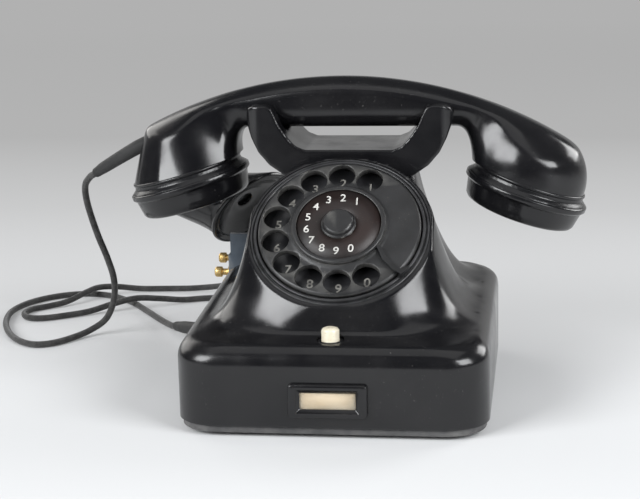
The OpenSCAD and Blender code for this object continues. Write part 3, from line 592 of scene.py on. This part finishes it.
def case_rings(d, z0, z1, q, na, ns):
    """Case set in by d: wall from z0, rounded edge of na steps, sweep of ns steps up to z1."""
    rings = [case_ring(BX - d, -BY + d, BY - d, CORNER_R - d, z0, 0, q)]
    for i in range(na + 1):
        a = math.radians(i * EDGE_TURN / na)
        e = EDGE_R * (1 - math.cos(a))
        rings.append(case_ring(BX - d - e, -BY + d + e, BY - d - e, CORNER_R - d,
                               FRONT_H - EDGE_R - d + EDGE_R * math.sin(a), 1, q))
    e = EDGE_R * (1 - math.cos(math.radians(EDGE_TURN)))
    z = FRONT_H - d - EDGE_R * (1 - math.sin(math.radians(EDGE_TURN)))
    for i in range(1, ns + 1):
        s = i / ns
        rings.append(case_ring(mix(BX - d - e, NECK_W / 2 - d, s),
                               mix(-BY + d + e, REST_Y - NECK_FRONT + d, s),
                               mix(BY - d - e, REST_Y + NECK_REAR - d, s),
                               mix(CORNER_R, NECK_CORNER, s) - d,
                               z + (z1 - z) * s ** SWEEP, 1 - s, q))
    return rings


def skirt_top(r, z, q):
    """Ring round the dial, with its points in the order of an oblong's."""
    out = []
    for c in range(4):
        for i in range(q + 1):
            a = math.radians(c * 90 + 45 + (i / q - 0.5) * SKIRT_ARC)
            out.append(DIAL @ Vector((r * math.cos(a), r * math.sin(a), z)))
    return out


def swept(a, b, s):
    """Ring between two rings: even in plan, slow and then steep in height."""
    return [(mix(p[0], q[0], s), mix(p[1], q[1], s), mix(p[2], q[2], s ** SKIRT_SWEEP))
            for p, q in zip(a, b)]


def between(a, b, s):
    return [Vector(p).lerp(Vector(q), s) for p, q in zip(a, b)]


def skirt_hollow(z):
    return case_ring(52 - WALL, -57 + WALL, 40 - WALL, 25 - WALL, z, 1, 8)


def case_weight(p):
    """1 on the sweep, falling to 0 at the dial, the outer edge, the ledge and the neck's top."""
    inset = min(BX - abs(p.x), BY - abs(p.y))
    return (fade(-(TO_DIAL @ p).z, 5, 14) * fade(inset, 8, 16) * fade(p.z, FRONT_H - 4, FRONT_H)
            * fade(p.z, NECK_TOP - 2, NECK_TOP - 10))


SKIRT_Q, SKIRT_STEPS = 22, 20
foot = case_ring(64, -61.5, 46, 27, FRONT_H + 0.2, 1, SKIRT_Q)
rim = skirt_top(SKIRT_R, SKIRT_Z, SKIRT_Q)
outer_skirt = skin("skirt", [case_ring(58, -58, 42, 25, FRONT_H - 4, 1, SKIRT_Q)]
                   + [swept(foot, rim, i / SKIRT_STEPS) for i in range(SKIRT_STEPS)] + [rim])
case = skin("housing_shell", case_rings(0, -14, NECK_TOP + 6, q=20, na=14, ns=36))
combine(case, [outer_skirt], "UNION")
soften(case, voxel=1.0, steps=6)
fair(case, case_weight, steps=140)
inner_top, inner_foot = skirt_top(SKIRT_R - 7.5, -16, 8), skirt_hollow(FRONT_H + 5)
combine(case, [
    skin("inside", case_rings(WALL, -20, NECK_TOP - 4, q=8, na=4, ns=10)),
    skin("inside_skirt", [skirt_hollow(FRONT_H - 12), inner_foot,
                          between(inner_foot, inner_top, 0.5), inner_top]),
    block("below", (-120, -120, -40), (120, 120, CASE_Z)),
    block("above", (-60, REST_Y - 25.6, NECK_TOP), (60, 90, 150)),
    disc("recess", BEZEL_R + 0.1, -10, 60, DIAL, 192),
    disc("bore", 34, -60, 0, DIAL),
    disc("collar_bore", 6.3, FRONT_H - 2, 80, upright(0, BUTTON_Y), 64),
    disc("button_bore", 4.8, 20, 80, upright(0, BUTTON_Y), 64),
    disc("guide_bore", 7.03, 80, 130, upright(0, REST_Y), 64),
    disc("gland_bore", 4.7, -6, 8, lying((-BX, GLAND_Y, GLAND_Z), "Y"), 48),
    disc("line_bore", 4.03, -12, 12, lying((LINE_X, BY, LINE_Z), "X"), 48),
], "DIFFERENCE")
piece(shade(case, 40), "base", BAKELITE)
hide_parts("housing")


# Handset moulding: a bar and two bowls that flow together, cut off by one long crown

FLARE, FLARE_RUN = 2.5, 30              # the bar widens over this run from FILLET_X
UNDER_CURVE = 0.12                      # bend of the handle's underside down to the bowls
BELOW_SEAT = 5                          # how far a bowl runs below its seat
LEFT_TAPER, LEFT_CURVE, LEFT_TOP = 0.5, 0.003, 31
LEFT_SCALE, DOME_SCALE = 0.87, 26       # bring the bowls' fields near to millimetres
DOME_H = 27.6
FULLER, FULL_H, FULL_POWER = 0.28, 28, 1.6      # bowls are fuller from front to back higher up
ROOF_R, ROOF_MORE, ROOF_X, ROOF_RUN = 17, 10, 48, 34    # crown across: rounder on the handle
BAR_EDGE, END_EDGE, SEAT_EDGE, CROWN_EDGE = 11, 6, 3, 1.8
JOIN = 15                               # fillet between bar and bowls


def at_bowl(side):
    x, z, tilt = BOWLS[side]
    return (Matrix.Translation((x, REST_Y, z))
            @ Matrix.Rotation(math.radians(side * tilt), 4, "Y")
            @ Matrix.Rotation(math.pi, 4, "X"))


def bowl_axes(side, x, off, z):
    """Distance from a bowl's axis and height above its seat."""
    mid, seat, tilt = BOWLS[side]
    a = math.radians(tilt)
    dx, dz = (x - mid) * side, z - seat
    height = dx * math.sin(a) + dz * math.cos(a)
    across = dx * math.cos(a) - dz * math.sin(a)
    deep = off * (1 - FULLER * np.clip(dz / FULL_H, 0, 1) ** FULL_POWER)
    return np.sqrt(across ** 2 + deep ** 2), height


def handset_field(x, y, z):
    far = np.abs(x)
    off = y - REST_Y
    over = np.maximum(far - FILLET_X, 0)
    mid = np.where(x < 0, -BOWLS[-1][0], BOWLS[1][0])
    seat = np.where(x < 0, BOWLS[-1][1], BOWLS[1][1])
    low = np.maximum(HANDLE_UNDER - UNDER_CURVE * over ** 2, seat + 2)
    half = HANDLE_HW + FLARE * smooth_step(over / FLARE_RUN)
    bend = np.sqrt(1 + (2 * UNDER_CURVE * over) ** 2)
    bar = soft_max(np.abs(off) - half, (low - z) / bend, BAR_EDGE)
    bar = soft_max(bar, far - mid - 2, END_EDGE)
    r, h = bowl_axes(-1, x, off, z)
    cone = BOWL_R - LEFT_TAPER * h - LEFT_CURVE * np.clip(h, 0, 40) ** 2
    left = soft_max((r - cone) * LEFT_SCALE, h - LEFT_TOP, END_EDGE)
    left = soft_max(left, -BELOW_SEAT - h, SEAT_EDGE)
    r, h = bowl_axes(1, x, off, z)
    right = (np.sqrt((r / BOWL_R) ** 2 + (h / DOME_H) ** 2) - 1) * DOME_SCALE
    right = soft_max(right, -BELOW_SEAT - h, SEAT_EDGE)
    whole = soft_min(bar, soft_min(left, right, 1), JOIN)
    roof = ROOF_R + ROOF_MORE * smooth_step((far - ROOF_X) / ROOF_RUN)
    along = x - CROWN_X
    arc = HANDLE_TOP - CROWN_R + np.sqrt(np.maximum(CROWN_R ** 2 - along ** 2, 1))
    slope = np.sqrt(1 + (along / CROWN_R) ** 2 + (off / roof) ** 2)
    return soft_max(whole, (z - arc + off ** 2 / (2 * roof)) / slope, CROWN_EDGE)


grip = surface("handset_moulding", handset_field, (-125, 6, 80), (126, 75, 157), step=0.9)
for s in (-1, 1):
    combine(grip, [disc("seat", 60, 0, 50, at_bowl(s)),
                   disc("chamber", 22.5, -5, 20, at_bowl(s)),
                   disc("chamber", 16.5, -12, 20, at_bowl(s))], "DIFFERENCE")
piece(shade(grip, 40), "handset", BAKELITE)
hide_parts("handset_body")

# Cradle yoke with round prongs

YOKE_UNDER, YOKE_W, YOKE_HALF = 104.6, 52, 25
yoke_side = [(31.5, YOKE_UNDER), (40, 110.5), (45.5, 117), (49, 124), (51.4, 131), (YOKE_W, 136),
             (50.6, 139), (47.5, 140.2), (41.5, 140.2), (38.6, 138.8), (36.8, 135), (34.6, 130),
             (30, 123.4), (26.5, 119.8), (22, 118)]
section = yoke_side + [(-x, z) for x, z in reversed(yoke_side)]
yoke = skin("cradle_yoke", [[(x, REST_Y + y, z) for x, z in section]
                            for y in (-YOKE_HALF, YOKE_HALF)])
post = skin("plan", [[(x, REST_Y + y, z) for x, y in plan(YOKE_W, -YOKE_HALF, YOKE_HALF, 7, 16)]
                     for z in (95, 150)])
combine(yoke, [post], "INTERSECT")
channel = HANDLE_HW + 1.2
combine(yoke, [block("channel", (-80, REST_Y - channel, SADDLE_Z), (80, REST_Y + channel, 160))],
        "DIFFERENCE")
soften(yoke, voxel=0.6, steps=8)
combine(yoke, [disc("socket", 4.02, 99, 109, upright(0, REST_Y), 48),
               block("under", (-80, 0, 90), (80, 90, YOKE_UNDER))], "DIFFERENCE")
piece(shade(yoke, 40), "cradle", BAKELITE)
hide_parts("cradle")

# Clear window over the number card, with a small gap before the card

WINDOW_W, WINDOW_H = 14.6, 5.6
window = block("label_glass", (-WINDOW_W, -BY - 0.9, LABEL_Z - WINDOW_H),
               (WINDOW_W, -BY - 0.45, LABEL_Z + WINDOW_H))
piece(window, "base", CLEAR)
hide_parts("label_window")


# Digits

def digit(name, text, size, place, body, mat, weight):
    curve = bpy.data.curves.new(name, "FONT")
    curve.body = text
    curve.align_x = "CENTER"
    curve.align_y = "CENTER"
    curve.extrude = 0.012
    curve.offset = weight
    obj = bpy.data.objects.new(name, curve)
    scene.collection.objects.link(obj)
    deps = bpy.context.evaluated_depsgraph_get()
    mesh = bpy.data.meshes.new_from_object(obj.evaluated_get(deps))
    bpy.data.objects.remove(obj)
    mesh.transform(Matrix.Scale(MM, 4) @ place @ Matrix.Scale(size, 4))
    out = bpy.data.objects.new(name, mesh)
    scene.collection.objects.link(out)
    piece(out, body, mat)


def on_dial(row, i):
    """Place of figure i in a row round the dial."""
    r, first, step, z = row
    a = math.radians(first + step * i)
    return DIAL @ Matrix.Translation((r * math.cos(a), r * math.sin(a), z))


RING_ROW = (31.2, 66, 25.8, -6.75)      # radius, first angle, step and height
CARD_ROW = (15.6, 60, 26.2, 2.26)
for i in range(10):
    text = str((i + 1) % 10)
    digit("ring_digit_" + text, text, 6.8, on_dial(RING_ROW, i), "base",
          DIGIT_DIRT_AND_SHADE, 0.012)
    digit("card_digit_" + text, text, 6.0, on_dial(CARD_ROW, i), "dial_rotor",
          WHITE, 0.006)

# Finishes and edge radii of the pieces that are shown as the solids are

PLAIN = {
    "base_plate": PAINT, "base_screws": NICKEL, "rubber_feet": RUBBER, "label_frame": BAKELITE,
    "label_card": PAPER, "button_collar": BAKELITE, "earth_button": CREAM,
    "button_spring_set": BRASS, "dial_bezel": BLACKENED, "dial_number_ring": RING,
    "finger_stop": STOP, "dial_frame": STEEL, "finger_wheel": ENAMEL, "dial_card": CARD,
    "dial_card_ring": ENAMEL, "dial_centre_cap": ENAMEL, "dial_shaft": STEEL, "dial_gear": BRASS,
    "governor": BRASS, "ringer_frame": STEEL, "ringer_coils": COPPER, "gong_left": NICKEL,
    "gong_right": NICKEL, "gong_posts": STEEL, "clapper": BRASS, "induction_coil": COPPER,
    "capacitor": TIN, "terminal_block": BROWN, "terminal_screws": BRASS, "hook_frame": STEEL,
    "hook_contacts": BRASS, "hook_lever": STEEL, "cradle_stem": NICKEL, "cradle_guide": BRASS,
    "transmitter_collar": EBONITE, "receiver_collar": EBONITE, "transmitter_cap": BAKELITE,
    "receiver_cap": BAKELITE, "transmitter_capsule": TIN, "receiver_capsule": TIN,
    "hook_bracket": BRACKET, "bracket_screws": NICKEL, "binding_posts": BRASS,
    "listener_body": BAKELITE, "listener_cap": BAKELITE, "listener_capsule": TIN,
    "line_grommet": RUBBER}
ROUNDED = {
    "label_frame": 0.5, "base_plate": 0.3, "hook_bracket": 0.5, "finger_wheel": 0.35,
    "dial_bezel": 0.15, "dial_card_ring": 0.3, "transmitter_cap": 0.3, "receiver_cap": 0.3,
    "transmitter_collar": 0.25, "receiver_collar": 0.25, "listener_cap": 0.2,
    "listener_body": 0.4, "earth_button": 0.5, "button_collar": 0.3, "dial_centre_cap": 0.3,
    "finger_stop": 0.2, "binding_posts": 0.2, "rubber_feet": 0.4}
SHARP = 32
for name, mat in PLAIN.items():
    obj = nodes[name]
    dress(obj, mat)
    weld = obj.modifiers.new("weld", "WELD")
    weld.merge_threshold = 1e-6
    if name in ROUNDED:
        bevel = obj.modifiers.new("bevel", "BEVEL")
        bevel.width = ROUNDED[name] * MM
        bevel.segments = 2
        bevel.limit_method = "ANGLE"
        bevel.angle_limit = math.radians(SHARP)
        bevel.use_clamp_overlap = True
        bevel.harden_normals = True
    shade(obj, SHARP)


# Floor and wall

HAZE = (0.44, 0.44, 0.44)


def looking(tree, rays):
    """1 for rays that look at the background: straight, mirrored or through glass."""
    value = rays.outputs["Is Camera Ray"]
    for kind in ("Is Glossy Ray", "Is Transmission Ray"):
        value = math_node(tree, "MAXIMUM", value, rays.outputs[kind])
    return value


def emission(tree, colour):
    node = tree.nodes.new("ShaderNodeEmission")
    if isinstance(colour, tuple):
        node.inputs["Color"].default_value = (*colour, 1)
    else:
        tree.links.new(colour, node.inputs["Color"])
    return node.outputs["Emission"]


def stage(name, corners, mat):
    obj = make(name, corners, [(0, 1, 2, 3)])
    dress(obj, mat)


floor_mat, tree, shader = new_material("studio_floor")
shader.inputs["Roughness"].default_value = 0.85
shader.inputs["Specular IOR Level"].default_value = 0.15
shader.inputs["Base Color"].default_value = (0.66, 0.664, 0.668, 1)
rays = tree.nodes.new("ShaderNodeLightPath")
place = tree.nodes.new("ShaderNodeNewGeometry").outputs["Position"]
split = tree.nodes.new("ShaderNodeSeparateXYZ")
tree.links.new(place, split.inputs["Vector"])
across, depth = split.outputs["X"], split.outputs["Y"]

# behind the object the floor glows with painted light that falls off from pale near the object to
# the grey of the background
glow = emission(tree, blend_colour(tree, levels(tree, depth, -0.1, 0.8), (0.8, 0.81, 0.82), HAZE))
behind = times(tree, looking(tree, rays), levels(tree, depth, 0.0, 0.45, 0.0, 0.9))
floor_look = blend_shader(tree, behind, shader.outputs["BSDF"], glow)

# reflections show a darker room before the object
dim = tree.nodes.new("ShaderNodeBsdfDiffuse")
dim.inputs["Color"].default_value = (0.06, 0.06, 0.062, 1)
middle = levels(tree, math_node(tree, "ABSOLUTE", across), 0.3, 0.6, 1.0, 0.0)
before = times(tree, levels(tree, depth, -0.3, -0.55), middle)
floor_look = blend_shader(tree, times(tree, rays.outputs["Is Glossy Ray"], before), floor_look,
                          dim.outputs["BSDF"])

# far from the object the camera sees the same grey on every side
distance = tree.nodes.new("ShaderNodeVectorMath")
distance.operation = "LENGTH"
tree.links.new(place, distance.inputs[0])
far_off = times(tree, rays.outputs["Is Camera Ray"],
                levels(tree, distance.outputs["Value"], 1.0, 2.0))
floor_look = blend_shader(tree, far_off, floor_look, emission(tree, HAZE))
tree.links.new(floor_look, tree.nodes["Material Output"].inputs["Surface"])
stage("floor", [(-9000, -4000, 0), (9000, -4000, 0), (9000, 12000, 0), (-9000, 12000, 0)],
      floor_mat)

wall_mat, tree, shader = new_material("studio_wall")
shader.inputs["Base Color"].default_value = (0.3, 0.3, 0.3, 1)
seen = looking(tree, tree.nodes.new("ShaderNodeLightPath"))
wall_look = blend_shader(tree, seen, shader.outputs["BSDF"], emission(tree, (0.46, 0.46, 0.46)))
tree.links.new(wall_look, tree.nodes["Material Output"].inputs["Surface"])
stage("wall", [(-6000, 4000, 0), (6000, 4000, 0), (6000, 4000, 1500), (-6000, 4000, 1500)],
      wall_mat)

# Light

world = bpy.data.worlds.new("studio")
scene.world = world
world.use_nodes = True
tree = world.node_tree
ambient = tree.nodes["Background"]
ambient.inputs["Color"].default_value = (0.5, 0.52, 0.55, 1)
ambient.inputs["Strength"].default_value = 0.16
haze = tree.nodes.new("ShaderNodeBackground")
haze.inputs["Color"].default_value = (*HAZE, 1)
rays = tree.nodes.new("ShaderNodeLightPath")
sky = blend_shader(tree, rays.outputs["Is Camera Ray"], ambient.outputs["Background"],
                   haze.outputs["Background"])
tree.links.new(sky, tree.nodes["World Output"].inputs["Surface"])


def softbox(name, place, aim, size, power, colour):
    light = bpy.data.lights.new(name, "AREA")
    light.shape = "RECTANGLE"
    light.size, light.size_y = size
    light.energy = power
    light.color = colour
    obj = bpy.data.objects.new(name, light)
    scene.collection.objects.link(obj)
    way = (Vector(aim) - Vector(place)).to_track_quat("-Z", "Y")
    obj.matrix_world = Matrix.Translation(place) @ way.to_matrix().to_4x4()


COOL, PURE, WARM = (0.97, 0.985, 1.0), (1.0, 1.0, 1.0), (1.0, 0.98, 0.95)
softbox("box_left", (-0.95, -0.95, 0.75), (0, 0, 0.08), (0.9, 0.72), 26, COOL)
softbox("box_right", (1.1, -0.75, 0.75), (0, 0, 0.08), (0.8, 0.72), 21, COOL)
softbox("box_top", (0.0, -0.15, 1.6), (0, 0.0, 0.05), (1.7, 1.4), 5, PURE)
softbox("box_back", (0.95, 0.8, 0.6), (0, 0.05, 0.08), (0.6, 0.6), 7, PURE)
softbox("box_far", (-1.3, 1.1, 0.75), (0, 0.0, 0.08), (1.2, 0.9), 8, WARM)
